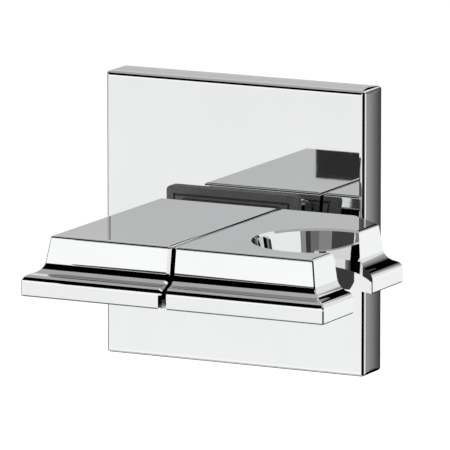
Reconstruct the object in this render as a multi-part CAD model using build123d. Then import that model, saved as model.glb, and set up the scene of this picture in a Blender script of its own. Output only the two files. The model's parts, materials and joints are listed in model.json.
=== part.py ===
from build123d import *
from math import acos, atan2, cos, degrees, sin, sqrt
import os

# Hand shower holder for a wall: a square plate carries a fixed arm, and a cradle tilts beside it.
# Millimetres. X runs right along the wall, Y runs into the wall, Z is up.
# The origin is the centre of the plate's back, on the wall surface.

# Wall plate
PLATE_SIDE = 55.0
PLATE_DEPTH = 7.6
PLATE_WALL = 2.2
PLATE_FRONT_R = 1.0
PLATE_CORNER_R = 1.2
PLATE_CROWN = 0.16
SEAL_WIDTH = 1.6
SEAL_THICK = 1.2

# Wall bracket inside the plate
BRACKET_WIDTH = 46.0
BRACKET_THICK = 4.0
BRACKET_WINDOW_X = 24.0
BRACKET_WINDOW_Z = 14.0
BRACKET_DROP = 2.4
WALL_HOLE_SPACING = 34.0
WALL_HOLE_R = 2.5
WALL_HOLE_SINK_R = 4.4
WALL_HOLE_SINK_DEPTH = 1.9

# Grub screw that locks the plate on the bracket
GRUB_R = 1.5
GRUB_RECESS = 0.3
GRUB_BOSS_SIDE = 9.0
GRUB_BOSS_RISE = 1.6
GRUB_Y = 2.9

# Moulded block: height, and the cove section that runs round its sides
BLOCK_HEIGHT = 11.1
SLOPE_RUN = 0.77
SLOPE_DROP = 4.75
COVE_R = 2.8
LIP_R = 1.5
FLARE = 4.2
TOP_EDGE_R = 0.6
BOTTOM_EDGE = 0.3
SPLIT_EDGE = 0.5
MITRE_FLAT = 0.3

# Layout of the block in front of the plate
BACK_GAP = 9.2
TOP_DEPTH = 44.3
ARM_TOP_WIDTH = 24.9
SPLIT_X = 14.3
SPLIT_GAP = 0.7
CRADLE_TOP_WIDTH = 28.35
REAR_PRONG_SETBACK = 5.0
REAR_CORNER_X = 7.5
REAR_CORNER_Y = 6.2

# Neck of the arm and its seal on the plate
NECK_WIDTH = 21.0
NECK_HEIGHT = 8.4
NECK_EDGE_R = 0.6
TENON_WIDTH = 8.0
TENON_HEIGHT = 6.0
TENON_LENGTH = 1.8
GASKET_SIDE_MARGIN = 3.3
GASKET_TOP_MARGIN = 2.3
GASKET_THICK = 1.2
GASKET_GROOVE_INSET = 1.4
GASKET_GROOVE_WIDTH = 0.45
GASKET_GROOVE_DEPTH = 0.6
GASKET_CORNER_R = 0.9
BOLT_SPACING = 15.0
BOLT_R = 2.0
BOLT_ENGAGE = 8.0
BOLT_HEAD_R = 3.5
BOLT_HEAD_LENGTH = 2.2
BOLT_SOCKET_ACROSS = 2.5
BOLT_SOCKET_DEPTH = 1.3
BOLT_WASHER_R = 3.9
BOLT_WASHER_THICK = 0.8

# Shower bore and the mouth that the hose passes through
BORE_FROM_SPLIT = 21.3
BORE_FROM_FRONT = 17.7
BORE_TOP_R = 12.1
BORE_LOW_R = 11.2
BORE_TAPER_DEPTH = 5.5
BORE_RIM = 0.4
MOUTH_WIDTH = 18.4

# Tilting pivot
PIVOT_FROM_FRONT = 23.1
STUD_R = 2.5
STUD_IN_CRADLE = 6.4
STUD_THREAD_R = 2.0
STUD_TAIL = 0.7
BUSH_R = 3.5
BUSH_FLANGE_R = 3.9
BUSH_FLANGE_THICK = 1.0
RING_R = 4.3
RING_RECESS = 0.8
SPRING_R = 3.7
SPRING_THICK = 0.5
SPRING_COUNT = 2
WASHER_R = 3.7
WASHER_THICK = 0.8
NUT_R = 3.7
NUT_LENGTH = 3.0
NUT_SLOT_WIDTH = 1.2
NUT_SLOT_DEPTH = 1.0
SET_SCREW_R = 1.5
SET_SCREW_RECESS = 0.4
SET_SCREW_FROM_SPLIT = 3.6

# Cavity in the arm's underside and its cover
CAVITY_WIDTH = 16.5
CAVITY_DEPTH = 16.0
PIVOT_WALL = 4.6
ROOF = 1.2
COVER_THICK = 1.2
COVER_SIDE_REST = 1.3
COVER_END_REST = 4.2
COVER_CORNER_R = 1.5
COVER_SCREW_FROM_END = 2.2
COVER_SCREW_R = 1.1
COVER_SCREW_HEAD_R = 1.9
COVER_SCREW_HEAD = 0.9
COVER_SCREW_LENGTH = 5.0

# Clearances
FIT = 0.05
RUNNING = 0.05
SLIDE = 0.1
FLOAT = 0.05
DRILL_POINT = 0.4

# Derived places
BIG = 200.0
PLATE_FRONT_Y = -PLATE_DEPTH
BLOCK_BACK_Y = PLATE_FRONT_Y - BACK_GAP
BLOCK_FRONT_Y = BLOCK_BACK_Y - TOP_DEPTH
BLOCK_TOP_Z = BLOCK_HEIGHT / 2
BLOCK_BOTTOM_Z = -BLOCK_HEIGHT / 2
ARM_RIGHT_X = SPLIT_X - SPLIT_GAP / 2
ARM_LEFT_X = ARM_RIGHT_X - ARM_TOP_WIDTH
CRADLE_LEFT_X = SPLIT_X + SPLIT_GAP / 2
CRADLE_RIGHT_X = CRADLE_LEFT_X + CRADLE_TOP_WIDTH
REAR_PRONG_X = CRADLE_RIGHT_X - REAR_PRONG_SETBACK
BORE_X = SPLIT_X + BORE_FROM_SPLIT
BORE_Y = BLOCK_FRONT_Y + BORE_FROM_FRONT
PIVOT_Y = BLOCK_FRONT_Y + PIVOT_FROM_FRONT
INNER_FRONT_Y = PLATE_FRONT_Y + PLATE_WALL
INNER_HALF = PLATE_SIDE / 2 - PLATE_WALL
CAVITY_RIGHT_X = ARM_RIGHT_X - PIVOT_WALL
CAVITY_LEFT_X = CAVITY_RIGHT_X - CAVITY_WIDTH
CAVITY_MID_X = (CAVITY_RIGHT_X + CAVITY_LEFT_X) / 2
COVER_HALF_Y = CAVITY_DEPTH / 2 + COVER_END_REST
SPRING_PACK_X = CAVITY_RIGHT_X - BUSH_FLANGE_THICK
WASHER_X = SPRING_PACK_X - SPRING_COUNT * SPRING_THICK - FLOAT
NUT_X = WASHER_X - WASHER_THICK


def box(x, y, z):
    """Box between pairs of limits on the three axes."""
    size = [limits[1] - limits[0] for limits in (x, y, z)]
    middle = [(limits[1] + limits[0]) / 2 for limits in (x, y, z)]
    return Pos(*middle) * Box(*size)


def rod_x(radius, x0, x1, y=PIVOT_Y, z=0.0):
    """Round bar along X."""
    return Pos((x0 + x1) / 2, y, z) * Rot(0, 90, 0) * Cylinder(radius, x1 - x0)


def rod_y(radius, y0, y1, x=0.0, z=0.0):
    """Round bar along Y."""
    return Pos(x, (y0 + y1) / 2, z) * Rot(90, 0, 0) * Cylinder(radius, y1 - y0)


def rod_z(radius, z0, z1, x, y):
    """Round bar along Z."""
    return Pos(x, y, (z0 + z1) / 2) * Cylinder(radius, z1 - z0)


def moulded_section():
    """Section behind one side of the block: a level top that ends at 0, then the cove moulding."""
    steep = atan2(SLOPE_RUN, SLOPE_DROP)
    shallow = acos((SLOPE_RUN + COVE_R * cos(steep) + LIP_R - FLARE) / (COVE_R + LIP_R))

    def toward(angle, radius):
        return Vector(radius * cos(angle), radius * sin(angle))

    shoulder = Vector(0, BLOCK_TOP_Z)
    cove_start = shoulder + Vector(SLOPE_RUN, -SLOPE_DROP)
    cove_centre = cove_start + toward(steep, COVE_R)
    cove_end = cove_centre - toward(shallow, COVE_R)
    lip_centre = cove_end - toward(shallow, LIP_R)
    lip_end = lip_centre + toward(0, LIP_R)
    foot = Vector(lip_end.X, BLOCK_BOTTOM_Z)
    back_foot = Vector(-BIG, BLOCK_BOTTOM_Z)
    back_top = Vector(-BIG, BLOCK_TOP_Z)
    outline = [
        Line(back_foot, back_top),
        Line(back_top, shoulder),
        Line(shoulder, cove_start),
        ThreePointArc(cove_start, cove_centre - toward((steep + shallow) / 2, COVE_R), cove_end),
        ThreePointArc(cove_end, lip_centre + toward(shallow / 2, LIP_R), lip_end),
        Line(lip_end, foot),
        Line(foot, back_foot),
    ]
    return make_face(outline)


def moulded_side(x, y, heading):
    """Endless block behind a moulded side, which faces a heading and has its top edge at a point."""
    block = extrude(Plane.XZ * moulded_section(), BIG, both=True)
    return Pos(x, y, 0) * Rot(0, 0, heading) * block


def mitre_flat(x, y, heading):
    """Endless block that trims the square mitre at a top corner to a narrow flat."""
    section = scale(moulded_section(), (sqrt(2), 1, 1))
    block = extrude(Plane.XZ * section, BIG, both=True)
    return Pos(x, y, 0) * Rot(0, 0, heading) * Pos(-MITRE_FLAT / 2, 0, 0) * block


def level_edges(block, face_index, join_y):
    """Edges of the lowest or topmost face, apart from those at a join."""
    edges = block.faces().sort_by(Axis.Z)[face_index].edges()
    return [edge for edge in edges if abs(edge.center().Y - join_y) > FIT]


def soften(block, split_x, join_y=BIG):
    """Bevel the front edges at the split, round the top edges and break the bottom edges."""
    rim = block.edges().filter_by_position(Axis.X, split_x - FIT, split_x + FIT)
    rim = rim.filter_by_position(Axis.Y, -BIG, BLOCK_FRONT_Y + FIT)
    if rim:
        block = chamfer(rim, SPLIT_EDGE)
    block = fillet(level_edges(block, -1, join_y), TOP_EDGE_R)
    return chamfer(level_edges(block, 0, join_y), BOTTOM_EDGE)


def crowned_slab(plane):
    """Endless bar of the plate's width and depth along a plane's normal, with its two sides crowned."""
    half = PLATE_SIDE / 2
    outline = [
        Line((half, 0), (-half, 0)),
        ThreePointArc((-half, 0), (-half - PLATE_CROWN, PLATE_DEPTH / 2), (-half, PLATE_DEPTH)),
        Line((-half, PLATE_DEPTH), (half, PLATE_DEPTH)),
        ThreePointArc((half, PLATE_DEPTH), (half + PLATE_CROWN, PLATE_DEPTH / 2), (half, 0)),
    ]
    return extrude(plane * make_face(outline), BIG, both=True)


def wall_plate():
    """Hollow square cover with crowned sides and softened edges, open to the wall."""
    half = PLATE_SIDE / 2
    upright = crowned_slab(Plane((0, 0, 0), x_dir=(1, 0, 0), z_dir=(0, 0, -1)))
    plate = upright & crowned_slab(Plane((0, 0, 0), x_dir=(0, 0, 1), z_dir=(1, 0, 0)))
    plate = fillet(plate.faces().sort_by(Axis.Y)[0].edges(), PLATE_FRONT_R)
    full_side = PLATE_SIDE + 2 * PLATE_CROWN
    plate &= extrude(Plane.XZ * RectangleRounded(full_side, full_side, PLATE_CORNER_R), PLATE_DEPTH)
    plate -= box((-INNER_HALF, INNER_HALF), (INNER_FRONT_Y, BIG), (-INNER_HALF, INNER_HALF))
    plate += box(
        (-GRUB_BOSS_SIDE / 2, GRUB_BOSS_SIDE / 2),
        (INNER_FRONT_Y, -SEAL_THICK - SLIDE),
        (-INNER_HALF, -INNER_HALF + GRUB_BOSS_RISE),
    )
    plate -= rod_z(GRUB_R, -half - BIG, 0, 0, -GRUB_Y)
    plate -= box(
        (-TENON_WIDTH / 2 - FIT, TENON_WIDTH / 2 + FIT),
        (PLATE_FRONT_Y - BIG, INNER_FRONT_Y),
        (-TENON_HEIGHT / 2 - FIT, TENON_HEIGHT / 2 + FIT),
    )
    for x in (-BOLT_SPACING / 2, BOLT_SPACING / 2):
        plate -= rod_y(BOLT_R + SLIDE, -BIG, 0, x)
    return plate


def rim_seal():
    """Foam ring just inside the plate's rim, flush with the wall."""
    outer = 2 * (INNER_HALF - FIT)
    ring = Rectangle(outer, outer) - Rectangle(outer - 2 * SEAL_WIDTH, outer - 2 * SEAL_WIDTH)
    return extrude(Plane.XZ * ring, SEAL_THICK)


def wall_bracket():
    """Cast bracket that is screwed to the wall; the plate hangs on its top edge."""
    half_x = BRACKET_WIDTH / 2
    top = INNER_HALF - SLIDE
    bottom = -INNER_HALF + GRUB_BOSS_RISE + BRACKET_DROP
    seal_edge = INNER_HALF - SEAL_WIDTH - 2 * SLIDE
    bracket = box((-half_x, half_x), (-BRACKET_THICK, 0), (bottom, seal_edge))
    hook = box((-half_x, half_x), (-BRACKET_THICK, -SEAL_THICK - SLIDE), (seal_edge, top))
    bracket = bracket + hook
    bracket -= box(
        (-BRACKET_WINDOW_X / 2, BRACKET_WINDOW_X / 2),
        (-BIG, BIG),
        (-BRACKET_WINDOW_Z / 2, BRACKET_WINDOW_Z / 2),
    )
    for x in (-WALL_HOLE_SPACING / 2, WALL_HOLE_SPACING / 2):
        bracket -= rod_y(WALL_HOLE_R, -BIG, BIG, x)
        sink = Cone(WALL_HOLE_R, WALL_HOLE_SINK_R, WALL_HOLE_SINK_DEPTH)
        bracket -= Pos(x, -BRACKET_THICK + WALL_HOLE_SINK_DEPTH / 2, 0) * Rot(90, 0, 0) * sink
    return bracket


def grub_screw():
    """Headless screw in the plate's underside, bearing on the bracket."""
    seat = -INNER_HALF + GRUB_BOSS_RISE + BRACKET_DROP
    start = -PLATE_SIDE / 2 + GRUB_RECESS
    screw = rod_z(GRUB_R - FIT, start, seat, 0, -GRUB_Y)
    socket = extrude(RegularPolygon(GRUB_R / 2, 6), GRUB_R)
    return screw - Pos(0, -GRUB_Y, start) * socket


def neck_gasket():
    """Thin dark seal round the arm's neck, on the wall plate, with a groove round its front."""
    width = NECK_WIDTH + 2 * GASKET_SIDE_MARGIN
    height = NECK_HEIGHT + 2 * GASKET_TOP_MARGIN
    outline = RectangleRounded(width, height, GASKET_CORNER_R)
    outline -= RectangleRounded(NECK_WIDTH + 2 * FIT, NECK_HEIGHT + 2 * FIT, NECK_EDGE_R + FIT)
    gasket = extrude(Plane.XZ * outline, GASKET_THICK)
    outer = 2 * GASKET_GROOVE_INSET
    inner = outer + 2 * GASKET_GROOVE_WIDTH
    groove = Rectangle(width - outer, height - outer) - Rectangle(width - inner, height - inner)
    gasket -= Pos(0, GASKET_GROOVE_DEPTH - GASKET_THICK, 0) * extrude(Plane.XZ * groove, BIG)
    return Pos(0, PLATE_FRONT_Y, 0) * gasket


def fixed_arm():
    """Cast arm: moulded on three sides, flat at the split, with its neck and pivot cavity."""
    body = moulded_side(ARM_LEFT_X, 0, 180) & moulded_side(0, BLOCK_FRONT_Y, -90)
    body &= moulded_side(0, BLOCK_BACK_Y, 90)
    body &= box((-BIG, ARM_RIGHT_X), (-BIG, BIG), (-BIG, BIG))
    body = soften(body, ARM_RIGHT_X)
    body &= mitre_flat(ARM_LEFT_X, BLOCK_FRONT_Y, -135) & mitre_flat(ARM_LEFT_X, BLOCK_BACK_Y, 135)
    neck = RectangleRounded(NECK_WIDTH, NECK_HEIGHT, NECK_EDGE_R)
    body += Pos(0, PLATE_FRONT_Y, 0) * extrude(Plane.XZ * neck, BACK_GAP + TOP_DEPTH / 4)
    body += box(
        (-TENON_WIDTH / 2, TENON_WIDTH / 2),
        (BLOCK_BACK_Y, PLATE_FRONT_Y + TENON_LENGTH),
        (-TENON_HEIGHT / 2, TENON_HEIGHT / 2),
    )
    for x in (-BOLT_SPACING / 2, BOLT_SPACING / 2):
        body -= rod_y(BOLT_R, PLATE_FRONT_Y - BOLT_ENGAGE - DRILL_POINT, 0, x)
    body -= box(
        (CAVITY_LEFT_X, CAVITY_RIGHT_X),
        (PIVOT_Y - CAVITY_DEPTH / 2, PIVOT_Y + CAVITY_DEPTH / 2),
        (-BIG, BLOCK_TOP_Z - ROOF),
    )
    body -= Pos(CAVITY_MID_X, PIVOT_Y, BLOCK_BOTTOM_Z) * extrude(cover_outline(SLIDE), COVER_THICK)
    for y in cover_screw_places():
        tip = BLOCK_BOTTOM_Z + COVER_SCREW_LENGTH + DRILL_POINT
        body -= rod_z(COVER_SCREW_R, -BIG, tip, CAVITY_MID_X, y)
    return body - rod_x(BUSH_R, CAVITY_RIGHT_X, BIG)


def arm_bolts():
    """Two socket screws that pull the neck on to the plate from inside."""
    bolts = []
    head_base = INNER_FRONT_Y + BOLT_WASHER_THICK
    head_top = head_base + BOLT_HEAD_LENGTH
    for x in (-BOLT_SPACING / 2, BOLT_SPACING / 2):
        bolt = rod_y(BOLT_R, PLATE_FRONT_Y - BOLT_ENGAGE, head_base, x)
        bolt += rod_y(BOLT_HEAD_R, head_base, head_top, x)
        socket = Plane.XZ * RegularPolygon(BOLT_SOCKET_ACROSS / sqrt(3), 6)
        bolt -= Pos(x, head_top, 0) * extrude(socket, BOLT_SOCKET_DEPTH)
        bolts.append(bolt)
    return Compound(bolts)


def bolt_washers():
    """Plain washers under the heads of the two arm bolts."""
    washers = []
    for x in (-BOLT_SPACING / 2, BOLT_SPACING / 2):
        washer = rod_y(BOLT_WASHER_R, INNER_FRONT_Y, INNER_FRONT_Y + BOLT_WASHER_THICK, x)
        washers.append(washer - rod_y(BOLT_R + SLIDE, -BIG, 0, x))
    return Compound(washers)


def shower_bore():
    """Tool for the bore: a softened rim, a taper for the shower's cone, then a straight throat."""
    profile = Polyline(
        (0, BLOCK_TOP_Z + 1),
        (BORE_TOP_R + BORE_RIM + 1, BLOCK_TOP_Z + 1),
        (BORE_TOP_R, BLOCK_TOP_Z - BORE_RIM),
        (BORE_LOW_R, BLOCK_TOP_Z - BORE_TAPER_DEPTH),
        (BORE_LOW_R, BLOCK_BOTTOM_Z - 1),
        (0, BLOCK_BOTTOM_Z - 1),
        close=True,
    )
    return Pos(BORE_X, BORE_Y, 0) * revolve(Plane.XZ * make_face(profile), Axis.Z)


def cradle():
    """Tilting cradle: two prongs about the bore, the rear one shorter, with a cut rear corner."""
    front = moulded_side(0, BLOCK_FRONT_Y, -90) & moulded_side(CRADLE_RIGHT_X, 0, 0)
    front &= box((CRADLE_LEFT_X, BIG), (-BIG, BORE_Y), (-BIG, BIG))
    rear = moulded_side(0, BLOCK_BACK_Y, 90) & moulded_side(REAR_PRONG_X, 0, 0)
    corner_heading = degrees(atan2(REAR_CORNER_X, REAR_CORNER_Y))
    rear &= moulded_side(REAR_PRONG_X, BLOCK_BACK_Y - REAR_CORNER_Y, corner_heading)
    rear &= box((CRADLE_LEFT_X, BIG), (BORE_Y, BIG), (-BIG, BIG))
    front = soften(front, CRADLE_LEFT_X, BORE_Y) & mitre_flat(CRADLE_RIGHT_X, BLOCK_FRONT_Y, -45)
    body = front + soften(rear, CRADLE_LEFT_X, BORE_Y)
    body -= shower_bore()
    half_mouth = MOUTH_WIDTH / 2
    body -= box((BORE_X, BIG), (BORE_Y - half_mouth, BORE_Y + half_mouth), (-BIG, BIG))
    body -= rod_x(STUD_R + FIT, 0, CRADLE_LEFT_X + STUD_IN_CRADLE + DRILL_POINT)
    body -= rod_x(RING_R + FIT, 0, CRADLE_LEFT_X + RING_RECESS)
    return body - rod_z(SET_SCREW_R, -BIG, 0, CRADLE_LEFT_X + SET_SCREW_FROM_SPLIT, PIVOT_Y)


def cover_outline(margin=0.0):
    """Plan of the cover plate, with a margin all round."""
    width = CAVITY_WIDTH + 2 * COVER_SIDE_REST + 2 * margin
    return RectangleRounded(width, 2 * (COVER_HALF_Y + margin), COVER_CORNER_R)


def cover_screw_places():
    """Y of the two cover screws."""
    reach = COVER_HALF_Y - COVER_SCREW_FROM_END
    return (PIVOT_Y - reach, PIVOT_Y + reach)


def base_cover():
    """Cover plate that closes the pivot cavity from below, flush with the arm."""
    cover = extrude(cover_outline(), COVER_THICK)
    cover = Pos(CAVITY_MID_X, PIVOT_Y, BLOCK_BOTTOM_Z) * cover
    for y in cover_screw_places():
        cover -= rod_z(COVER_SCREW_R + SLIDE, -BIG, BIG, CAVITY_MID_X, y)
        cover -= cover_screw_head(y)
    return cover


def cover_screw_head(y):
    """Countersunk head of a cover screw, flush with the cover."""
    head = Cone(COVER_SCREW_HEAD_R, COVER_SCREW_R, COVER_SCREW_HEAD)
    return Pos(CAVITY_MID_X, y, BLOCK_BOTTOM_Z + COVER_SCREW_HEAD / 2) * head


def cover_screws():
    """Two small countersunk screws with a cross recess."""
    screws = []
    for y in cover_screw_places():
        tip = BLOCK_BOTTOM_Z + COVER_SCREW_LENGTH
        screw = cover_screw_head(y) + rod_z(COVER_SCREW_R, BLOCK_BOTTOM_Z, tip, CAVITY_MID_X, y)
        for turn in (0, 90):
            slot = Box(COVER_SCREW_HEAD_R, COVER_SCREW_R / 3, COVER_SCREW_HEAD)
            screw -= Pos(CAVITY_MID_X, y, BLOCK_BOTTOM_Z) * Rot(0, 0, turn) * slot
        screws.append(screw)
    return Compound(screws)


def pivot_bush():
    """Flanged plastic bush in the arm's split wall."""
    bush = rod_x(BUSH_R, CAVITY_RIGHT_X, ARM_RIGHT_X)
    bush += rod_x(BUSH_FLANGE_R, CAVITY_RIGHT_X - BUSH_FLANGE_THICK, CAVITY_RIGHT_X)
    return bush - rod_x(STUD_R + RUNNING, -BIG, BIG)


def friction_ring():
    """Friction ring let into the cradle, which runs on the arm across the split."""
    ring = rod_x(RING_R, ARM_RIGHT_X + FLOAT, CRADLE_LEFT_X + RING_RECESS)
    return ring - rod_x(STUD_R + FIT, -BIG, BIG)


def disc_springs():
    """Pair of disc springs, pressed flat, that load the pivot."""
    springs = []
    for index in range(SPRING_COUNT):
        right = SPRING_PACK_X - index * SPRING_THICK
        spring = rod_x(SPRING_R, right - SPRING_THICK, right)
        springs.append(spring - rod_x(STUD_R + RUNNING, -BIG, BIG))
    return Compound(springs)


def thrust_washer():
    """Flat washer between the springs and the nut."""
    washer = rod_x(WASHER_R, WASHER_X - WASHER_THICK, WASHER_X)
    return washer - rod_x(STUD_R + FIT, -BIG, BIG)


def lock_nut():
    """Round nut with two spanner slots."""
    far = NUT_X - NUT_LENGTH
    nut = rod_x(NUT_R, far, NUT_X) - rod_x(STUD_THREAD_R, -BIG, BIG)
    slot = (far - NUT_SLOT_DEPTH, far + NUT_SLOT_DEPTH)
    across = (PIVOT_Y - NUT_SLOT_WIDTH / 2, PIVOT_Y + NUT_SLOT_WIDTH / 2)
    return nut - box(slot, across, (-BIG, BIG))


def pivot_stud():
    """Stud held in the cradle: a plain journal in the bush and a threaded tail for the nut."""
    tail = NUT_X - NUT_LENGTH - STUD_TAIL
    stud = rod_x(STUD_R, NUT_X, CRADLE_LEFT_X + STUD_IN_CRADLE)
    stud += rod_x(STUD_THREAD_R, tail, NUT_X)
    return chamfer(stud.faces().sort_by(Axis.X)[0].edges(), STUD_TAIL / 2)


def stud_set_screw():
    """Headless screw under the cradle that locks the stud."""
    x = CRADLE_LEFT_X + SET_SCREW_FROM_SPLIT
    start = BLOCK_BOTTOM_Z + SET_SCREW_RECESS
    screw = rod_z(SET_SCREW_R, start, -STUD_R, x, PIVOT_Y)
    socket = extrude(RegularPolygon(SET_SCREW_R / 2, 6), SET_SCREW_R / 2)
    return screw - Pos(x, PIVOT_Y, start) * socket


NODES = {
    "wall_plate": wall_plate,
    "rim_seal": rim_seal,
    "wall_bracket": wall_bracket,
    "grub_screw": grub_screw,
    "neck_gasket": neck_gasket,
    "fixed_arm": fixed_arm,
    "arm_bolts": arm_bolts,
    "bolt_washers": bolt_washers,
    "base_cover": base_cover,
    "cover_screws": cover_screws,
    "pivot_bush": pivot_bush,
    "disc_springs": disc_springs,
    "cradle": cradle,
    "pivot_stud": pivot_stud,
    "stud_set_screw": stud_set_screw,
    "friction_ring": friction_ring,
    "thrust_washer": thrust_washer,
    "lock_nut": lock_nut,
}

os.makedirs("parts", exist_ok=True)
for name, make in NODES.items():
    export_step(make(), f"parts/{name}.step")
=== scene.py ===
import json
import math

import bpy
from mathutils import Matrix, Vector

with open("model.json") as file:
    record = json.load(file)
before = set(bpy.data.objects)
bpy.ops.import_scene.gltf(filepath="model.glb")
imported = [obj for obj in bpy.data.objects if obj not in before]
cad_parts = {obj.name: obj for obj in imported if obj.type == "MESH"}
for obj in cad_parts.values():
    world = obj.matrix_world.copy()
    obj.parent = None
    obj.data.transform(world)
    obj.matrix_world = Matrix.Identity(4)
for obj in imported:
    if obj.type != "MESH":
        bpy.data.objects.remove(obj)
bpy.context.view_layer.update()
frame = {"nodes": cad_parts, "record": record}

# Hand shower holder, polished chrome, in a white studio. Metres, in the part's own frame:
# X runs right along the wall, Y runs into the wall, Z is up. Angles are in degrees.

# Camera, fitted to the photograph (image of 450 x 450 pixels)
IMAGE_SIDE = 450
CAMERA_TARGET = Vector((0.008, -0.030, 0.0))
CAMERA_AZIMUTH = 26.825
CAMERA_ELEVATION = 10.539
CAMERA_DISTANCE = 1.3699
CAMERA_CLIP_START = 0.01
FOCAL_PIXELS = 7294
AXIS_PIXEL = (218.17, 245.86)
SENSOR = 36.0

# Materials: the texture values at which the two ends of a range are reached, and the chrome's tone
# at grazing angles
TEXTURE_LOW = 0.3
TEXTURE_HIGH = 0.7
CHROME_EDGE_TONE = 0.57
WHITE = (1, 1, 1, 1)
BLACK = (0, 0, 0, 1)

# Studio
WORLD_AS_LIGHT = 0.7
WORLD_SEEN = 1.0
FLOOR_Z = -0.22
FLOOR_SIDE = 8.0
FLOOR_TONE = 0.80
FLOOR_ROUGHNESS = 0.9
FLOOR_GLOW = 0.315
FLOOR_CARD_Z = FLOOR_Z + 0.002
CEILING_Z = 2.2
FAR_CARDS = 2.2
RING_CARDS = 0.75
LAMP_DISTANCE = 1.9
UP = Vector((0, 0, 1))
DOWN = Vector((0, 0, -1))
TO_WALL = Vector((0, 1, 0))


def set_input(node, name, value):
    """Give a node's socket a constant value."""
    node.inputs[name].default_value = value


def grey(tone):
    """Neutral colour of one tone."""
    return (tone, tone, tone, 1)


def new_material(name):
    """A new node material, with its node tree and its Principled shader."""
    material = bpy.data.materials.new(name)
    material.use_nodes = True
    shader = material.node_tree.nodes["Principled BSDF"]
    return material, material.node_tree, shader


def noise(tree, scale, detail=2.0):
    """Noise in the piece's own coordinates; the scale is in cycles per metre."""
    place = tree.nodes.new("ShaderNodeTexCoord")
    texture = tree.nodes.new("ShaderNodeTexNoise")
    set_input(texture, "Scale", scale)
    set_input(texture, "Detail", detail)
    tree.links.new(place.outputs["Object"], texture.inputs["Vector"])
    return texture.outputs["Fac"]


def vary_colour(tree, shader, source, dark, light):
    """Base colour that drifts between two tones with a texture."""
    ramp = tree.nodes.new("ShaderNodeValToRGB")
    ramp.color_ramp.elements[0].position = TEXTURE_LOW
    ramp.color_ramp.elements[1].position = TEXTURE_HIGH
    ramp.color_ramp.elements[0].color = (*dark, 1)
    ramp.color_ramp.elements[1].color = (*light, 1)
    tree.links.new(source, ramp.inputs["Fac"])
    tree.links.new(ramp.outputs["Color"], shader.inputs["Base Color"])


def vary_roughness(tree, shader, source, low, high):
    """Roughness that drifts between two values with a texture."""
    node = tree.nodes.new("ShaderNodeMapRange")
    set_input(node, "From Min", TEXTURE_LOW)
    set_input(node, "From Max", TEXTURE_HIGH)
    set_input(node, "To Min", low)
    set_input(node, "To Max", high)
    tree.links.new(source, node.inputs["Value"])
    tree.links.new(node.outputs["Result"], shader.inputs["Roughness"])


def bump(tree, shader, height, distance, strength=1.0):
    """Fine relief from a texture; the distance is its depth in metres."""
    node = tree.nodes.new("ShaderNodeBump")
    set_input(node, "Strength", strength)
    set_input(node, "Distance", distance)
    tree.links.new(height, node.inputs["Height"])
    tree.links.new(node.outputs["Normal"], shader.inputs["Normal"])


def chrome():
    """Bright chrome plate: mirror finish with a trace of polishing haze."""
    material, tree, shader = new_material("polished_chrome")
    set_input(shader, "Metallic", 1.0)
    set_input(shader, "Specular Tint", grey(CHROME_EDGE_TONE))
    drift = noise(tree, scale=60)
    vary_colour(tree, shader, drift, dark=(0.79, 0.795, 0.80), light=(0.81, 0.815, 0.82))
    haze = noise(tree, scale=900, detail=4)
    vary_roughness(tree, shader, haze, low=0.012, high=0.03)
    return material


def rubber_painted_in_shade():
    """Moulded rubber for the gasket; its dark grey is painted shade, standing in for the shade on the
    strip between arm and plate.
    """
    material, tree, shader = new_material("moulded_rubber_painted_shade")
    mottle = noise(tree, scale=700, detail=4)
    # The dark grey range is painted shade; the mottle within it is random tone.
    vary_colour(tree, shader, mottle, dark=(0.092, 0.092, 0.094), light=(0.120, 0.120, 0.122))
    vary_roughness(tree, shader, noise(tree, scale=2500), low=0.5, high=0.62)
    grain = noise(tree, scale=5200, detail=3)
    bump(tree, shader, grain, distance=0.00002, strength=0.5)
    return material


def foam():
    """Pale closed-cell foam strip."""
    material, tree, shader = new_material("foam_strip")
    cells = tree.nodes.new("ShaderNodeTexVoronoi")
    place = tree.nodes.new("ShaderNodeTexCoord")
    tree.links.new(place.outputs["Object"], cells.inputs["Vector"])
    set_input(cells, "Scale", 2600)
    depth = cells.outputs["Distance"]
    vary_colour(tree, shader, depth, dark=(0.42, 0.42, 0.41), light=(0.60, 0.60, 0.58))
    set_input(shader, "Roughness", 0.9)
    bump(tree, shader, depth, distance=0.0001)
    return material


def cast_zinc():
    """As-cast zinc alloy, dull and slightly grainy."""
    material, tree, shader = new_material("cast_zinc")
    set_input(shader, "Metallic", 1.0)
    mottle = noise(tree, scale=300, detail=5)
    vary_colour(tree, shader, mottle, dark=(0.40, 0.41, 0.42), light=(0.52, 0.53, 0.54))
    vary_roughness(tree, shader, noise(tree, scale=1500, detail=4), low=0.38, high=0.55)
    bump(tree, shader, noise(tree, scale=2200, detail=6), distance=0.00005)
    return material


def steel():
    """Stainless steel of the fasteners, springs and washers."""
    material, tree, shader = new_material("stainless_steel")
    set_input(shader, "Metallic", 1.0)
    mottle = noise(tree, scale=1200, detail=3)
    vary_colour(tree, shader, mottle, dark=(0.50, 0.50, 0.51), light=(0.60, 0.60, 0.61))
    vary_roughness(tree, shader, noise(tree, scale=3000, detail=3), low=0.18, high=0.3)
    return material


def acetal():
    """Natural white acetal."""
    material, tree, shader = new_material("white_acetal")
    mottle = noise(tree, scale=500, detail=3)
    vary_colour(tree, shader, mottle, dark=(0.76, 0.76, 0.74), light=(0.83, 0.83, 0.81))
    vary_roughness(tree, shader, noise(tree, scale=2000), low=0.32, high=0.42)
    return material


def brass():
    """Turned brass."""
    material, tree, shader = new_material("turned_brass")
    set_input(shader, "Metallic", 1.0)
    mottle = noise(tree, scale=900, detail=3)
    vary_colour(tree, shader, mottle, dark=(0.66, 0.47, 0.20), light=(0.75, 0.56, 0.27))
    vary_roughness(tree, shader, noise(tree, scale=2500, detail=3), low=0.2, high=0.32)
    return material


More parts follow.
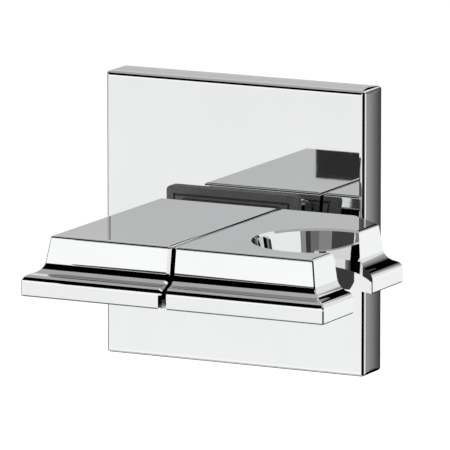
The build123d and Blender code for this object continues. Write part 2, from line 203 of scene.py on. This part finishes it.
def dress_nodes():
    """Give each CAD node the finish of its material slot."""
    finishes = {
        "chrome": chrome(),
        # The gasket's dark rubber tone is painted shade.
        "gasket": rubber_painted_in_shade(),
        "foam": foam(),
        "casting": cast_zinc(),
        "steel": steel(),
        "acetal": acetal(),
        "brass": brass(),
    }
    for part in frame["record"]["subparts"]:
        node = frame["nodes"][part["node"]]
        node.material_slots[0].material = finishes[part["material_slot"]]


def direction(azimuth, elevation):
    """Unit vector; azimuth 0 is straight in front of the wall, positive to the right."""
    turn = math.radians(azimuth)
    rise = math.radians(elevation)
    return Vector((math.sin(turn) * math.cos(rise), -math.cos(turn) * math.cos(rise), math.sin(rise)))


def add_camera():
    """Camera that sees the holder as the photograph does, by the fit above."""
    data = bpy.data.cameras.new("camera")
    camera = bpy.data.objects.new("camera", data)
    bpy.context.scene.collection.objects.link(camera)
    back = direction(CAMERA_AZIMUTH, CAMERA_ELEVATION)
    camera.location = CAMERA_TARGET + back * CAMERA_DISTANCE
    camera.rotation_euler = back.to_track_quat("Z", "Y").to_euler()
    data.sensor_width = SENSOR
    data.lens = FOCAL_PIXELS / IMAGE_SIDE * SENSOR
    data.shift_x = (IMAGE_SIDE / 2 - AXIS_PIXEL[0]) / IMAGE_SIDE
    data.shift_y = (AXIS_PIXEL[1] - IMAGE_SIDE / 2) / IMAGE_SIDE
    data.clip_start = CAMERA_CLIP_START
    bpy.context.scene.camera = camera


def plane(name, width, height, material):
    """Flat rectangle in its own XY plane, facing its own +Z; it belongs to the studio."""
    x = width / 2
    y = height / 2
    mesh = bpy.data.meshes.new(name)
    mesh.from_pydata([(-x, -y, 0), (x, -y, 0), (x, y, 0), (-x, y, 0)], [], [(0, 1, 2, 3)])
    mesh.materials.append(material)
    obj = bpy.data.objects.new(name, mesh)
    bpy.context.scene.collection.objects.link(obj)
    return obj


def seen_directly(tree):
    """1 on rays from the camera, a mirror or glass, 0 on the rest."""
    path = tree.nodes.new("ShaderNodeLightPath")
    total = path.outputs["Is Camera Ray"]
    for other in ("Is Glossy Ray", "Is Transmission Ray"):
        larger = tree.nodes.new("ShaderNodeMath")
        larger.operation = "MAXIMUM"
        tree.links.new(total, larger.inputs[0])
        tree.links.new(path.outputs[other], larger.inputs[1])
        total = larger.outputs[0]
    return total


def add_world():
    """White surroundings: full white where they are seen, softer as light."""
    world = bpy.data.worlds.new("studio")
    bpy.context.scene.world = world
    world.use_nodes = True
    tree = world.node_tree
    background = tree.nodes["Background"]
    set_input(background, "Color", WHITE)
    strength = tree.nodes.new("ShaderNodeMapRange")
    set_input(strength, "To Min", WORLD_AS_LIGHT)
    set_input(strength, "To Max", WORLD_SEEN)
    tree.links.new(seen_directly(tree), strength.inputs["Value"])
    tree.links.new(strength.outputs["Result"], background.inputs["Strength"])


def add_floor():
    """Pale floor that keeps the shadow; a little glow lifts it to the background's white."""
    material, tree, shader = new_material("floor")
    set_input(shader, "Base Color", grey(FLOOR_TONE))
    set_input(shader, "Roughness", FLOOR_ROUGHNESS)
    set_input(shader, "Emission Color", WHITE)
    glow = tree.nodes.new("ShaderNodeMath")
    glow.operation = "MULTIPLY"
    glow.inputs[1].default_value = FLOOR_GLOW
    tree.links.new(seen_directly(tree), glow.inputs[0])
    tree.links.new(glow.outputs[0], shader.inputs["Emission Strength"])
    floor = plane("floor", FLOOR_SIDE, FLOOR_SIDE, material)
    floor.location = (0, 0, FLOOR_Z)


def card_material(name, level):
    """Even card: black at level 0, white at 1, a softbox above that."""
    material, _, shader = new_material(name)
    set_input(shader, "Base Color", BLACK)
    set_input(shader, "Specular IOR Level", 0.0)
    set_input(shader, "Emission Color", WHITE)
    set_input(shader, "Emission Strength", level)
    return material


def graded_material(name, levels, places):
    """Card whose level changes along its own X, from the first place to the second."""
    material = card_material(name, levels[0])
    tree = material.node_tree
    place = tree.nodes.new("ShaderNodeTexCoord")
    axes = tree.nodes.new("ShaderNodeSeparateXYZ")
    grade = tree.nodes.new("ShaderNodeMapRange")
    set_input(grade, "From Min", places[0])
    set_input(grade, "From Max", places[1])
    set_input(grade, "To Min", levels[0])
    set_input(grade, "To Max", levels[1])
    tree.links.new(place.outputs["Object"], axes.inputs["Vector"])
    tree.links.new(axes.outputs["X"], grade.inputs["Value"])
    tree.links.new(grade.outputs["Result"], tree.nodes["Principled BSDF"].inputs["Emission Strength"])
    return material


def add_card(name, centre, facing, width, height, material):
    """Card that shows only in reflections."""
    card = plane(name, width, height, material)
    card.location = centre
    card.rotation_euler = facing.to_track_quat("Z", "Y").to_euler()
    card.visible_camera = False
    card.visible_diffuse = False
    card.visible_shadow = False


def add_round_card(name, distance, azimuths, elevations, material):
    """Card that faces the holder and spans two azimuths and two elevations."""
    toward = direction(sum(azimuths) / 2, sum(elevations) / 2)
    width = 2 * distance * math.tan(math.radians(azimuths[1] - azimuths[0]) / 2)
    height = 2 * distance * math.tan(math.radians(elevations[1] - elevations[0]) / 2)
    add_card(name, toward * distance, -toward, width, height, material)


def add_lamp(name, azimuth, elevation, size, power):
    """Square lamp that faces the holder and doesn't show in reflections."""
    data = bpy.data.lights.new(name, "AREA")
    data.shape = "SQUARE"
    data.size = size
    data.energy = power
    lamp = bpy.data.objects.new(name, data)
    bpy.context.scene.collection.objects.link(lamp)
    toward = direction(azimuth, elevation)
    lamp.location = toward * LAMP_DISTANCE
    lamp.visible_glossy = False
    lamp.rotation_euler = toward.to_track_quat("Z", "Y").to_euler()


def add_round_cards():
    """Cards round the holder: flags are dark, boxes are brighter than white, boards are greys."""
    # Name, distance, azimuths, elevations, level
    cards = [
        ("front_box", FAR_CARDS, (-35, -19), (-3, 18), 1.17),
        ("front_flag", FAR_CARDS, (-61, -26), (21, 58), 0.0),
        ("back_flag", FAR_CARDS, (180, 204), (14, 32), 0.0),
        ("back_box", RING_CARDS, (138, 163), (-15, 5), 1.22),
        ("mitre_flag", RING_CARDS, (48, 78), (10, 45), 0.0),
        ("left_flag", RING_CARDS, (-140, -95), (-16, 4), 0.0),
        ("split_flag", RING_CARDS, (5, 41), (17, 33), 0.0),
        ("board_a", RING_CARDS, (49, 58), (-2, 17), 0.30),
        ("board_b", RING_CARDS, (41, 49), (-2, 17), 0.05),
        ("board_c", RING_CARDS, (27, 41), (-2, 17), 0.17),
        ("board_d", RING_CARDS, (5, 27), (-2, 17), 0.27),
        ("board_e", RING_CARDS, (-16, 5), (-2, 17), 0.06),
        ("board_f", RING_CARDS, (-60, -38), (-2, 17), 0.22),
    ]
    for name, distance, azimuths, elevations, level in cards:
        add_round_card(name, distance, azimuths, elevations, card_material(name, level))
    right = graded_material("right_flag", levels=(0.3, 0.0), places=(-0.42, -0.07))
    add_round_card("right_flag", RING_CARDS, azimuths=(40, 99), elevations=(-16, -3.5), material=right)


def add_placed_cards():
    """Cards at set places: overhead, on the floor, in front of the block and behind the plate's edge."""
    # Name, centre, facing, width, height, level
    cards = [
        ("ceiling", (0, 0.1, CEILING_Z), DOWN, 4.0, 3.0, 0.47),
        ("under_card", (-0.105, -0.022, FLOOR_CARD_Z), UP, 0.13, 0.045, 0.2),
        ("under_back", (-0.1, 0.38, FLOOR_CARD_Z), UP, 1.0, 0.64, 0.0),
        ("mouth_flag", (0.017, -0.075, -0.0122), TO_WALL, 0.046, 0.0066, 0.05),
        ("bore_flag", (-0.0095, -0.12, 0.0188), TO_WALL, 0.056, 0.0084, 0.06),
    ]
    for name, centre, facing, width, height, level in cards:
        add_card(name, centre, facing, width, height, card_material(name, level))
    side = graded_material("side_card", levels=(0.0, 0.545), places=(-0.0125, 0.0185))
    side_facing = direction(azimuth=-26.8, elevation=0)
    add_card("side_card", (0.0521, 0.0508, -0.001), side_facing, width=0.037, height=0.11, material=side)


def add_studio():
    """World, floor, cards and lamps."""
    add_world()
    add_floor()
    add_round_cards()
    add_placed_cards()
    add_lamp("key", azimuth=-153, elevation=75, size=1.2, power=14)
    add_lamp("fill", azimuth=60, elevation=40, size=1.0, power=5)


dress_nodes()
add_camera()
add_studio()
bpy.context.scene.view_settings.view_transform = "Standard"
